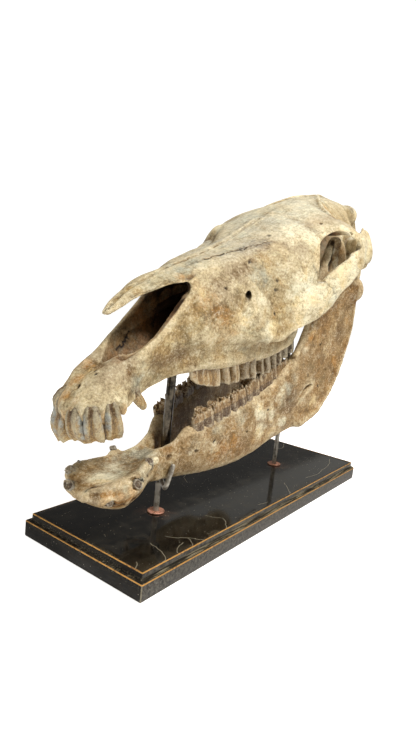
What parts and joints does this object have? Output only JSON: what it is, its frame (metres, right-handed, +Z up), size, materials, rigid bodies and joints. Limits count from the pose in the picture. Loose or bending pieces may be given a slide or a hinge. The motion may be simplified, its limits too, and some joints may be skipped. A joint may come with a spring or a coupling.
{
  "type": "mounted horse skull",
  "caption": "Horse skull, cranium with a slightly open lower jaw, held on steel rods over a black lacquered rectangular plinth.",
  "frame": {"origin": "middle of the plinth's underside, on the surface it stands on", "axes": "+Z up, -Y towards the nose, +X the animal's left"},
  "size_m": [0.1981, 0.508, 0.4009],
  "materials": {
    "bone": null,
    "black_lacquer": "black gloss lacquer on wood with thin gold lines",
    "rod_steel": "grey drawn steel",
    "dark_steel": "dark polished steel",
    "copper": "copper, slightly dulled"
  },
  "bodies": {
    "root": {"cranium": "bone", "mandible": "bone", "plinth": "black_lacquer", "front_rod": "rod_steel", "front_post": "dark_steel", "rear_rod": "rod_steel", "jaw_cradle": "rod_steel", "front_collar": "copper", "rear_collar": "copper"}
  },
  "joints": []
}
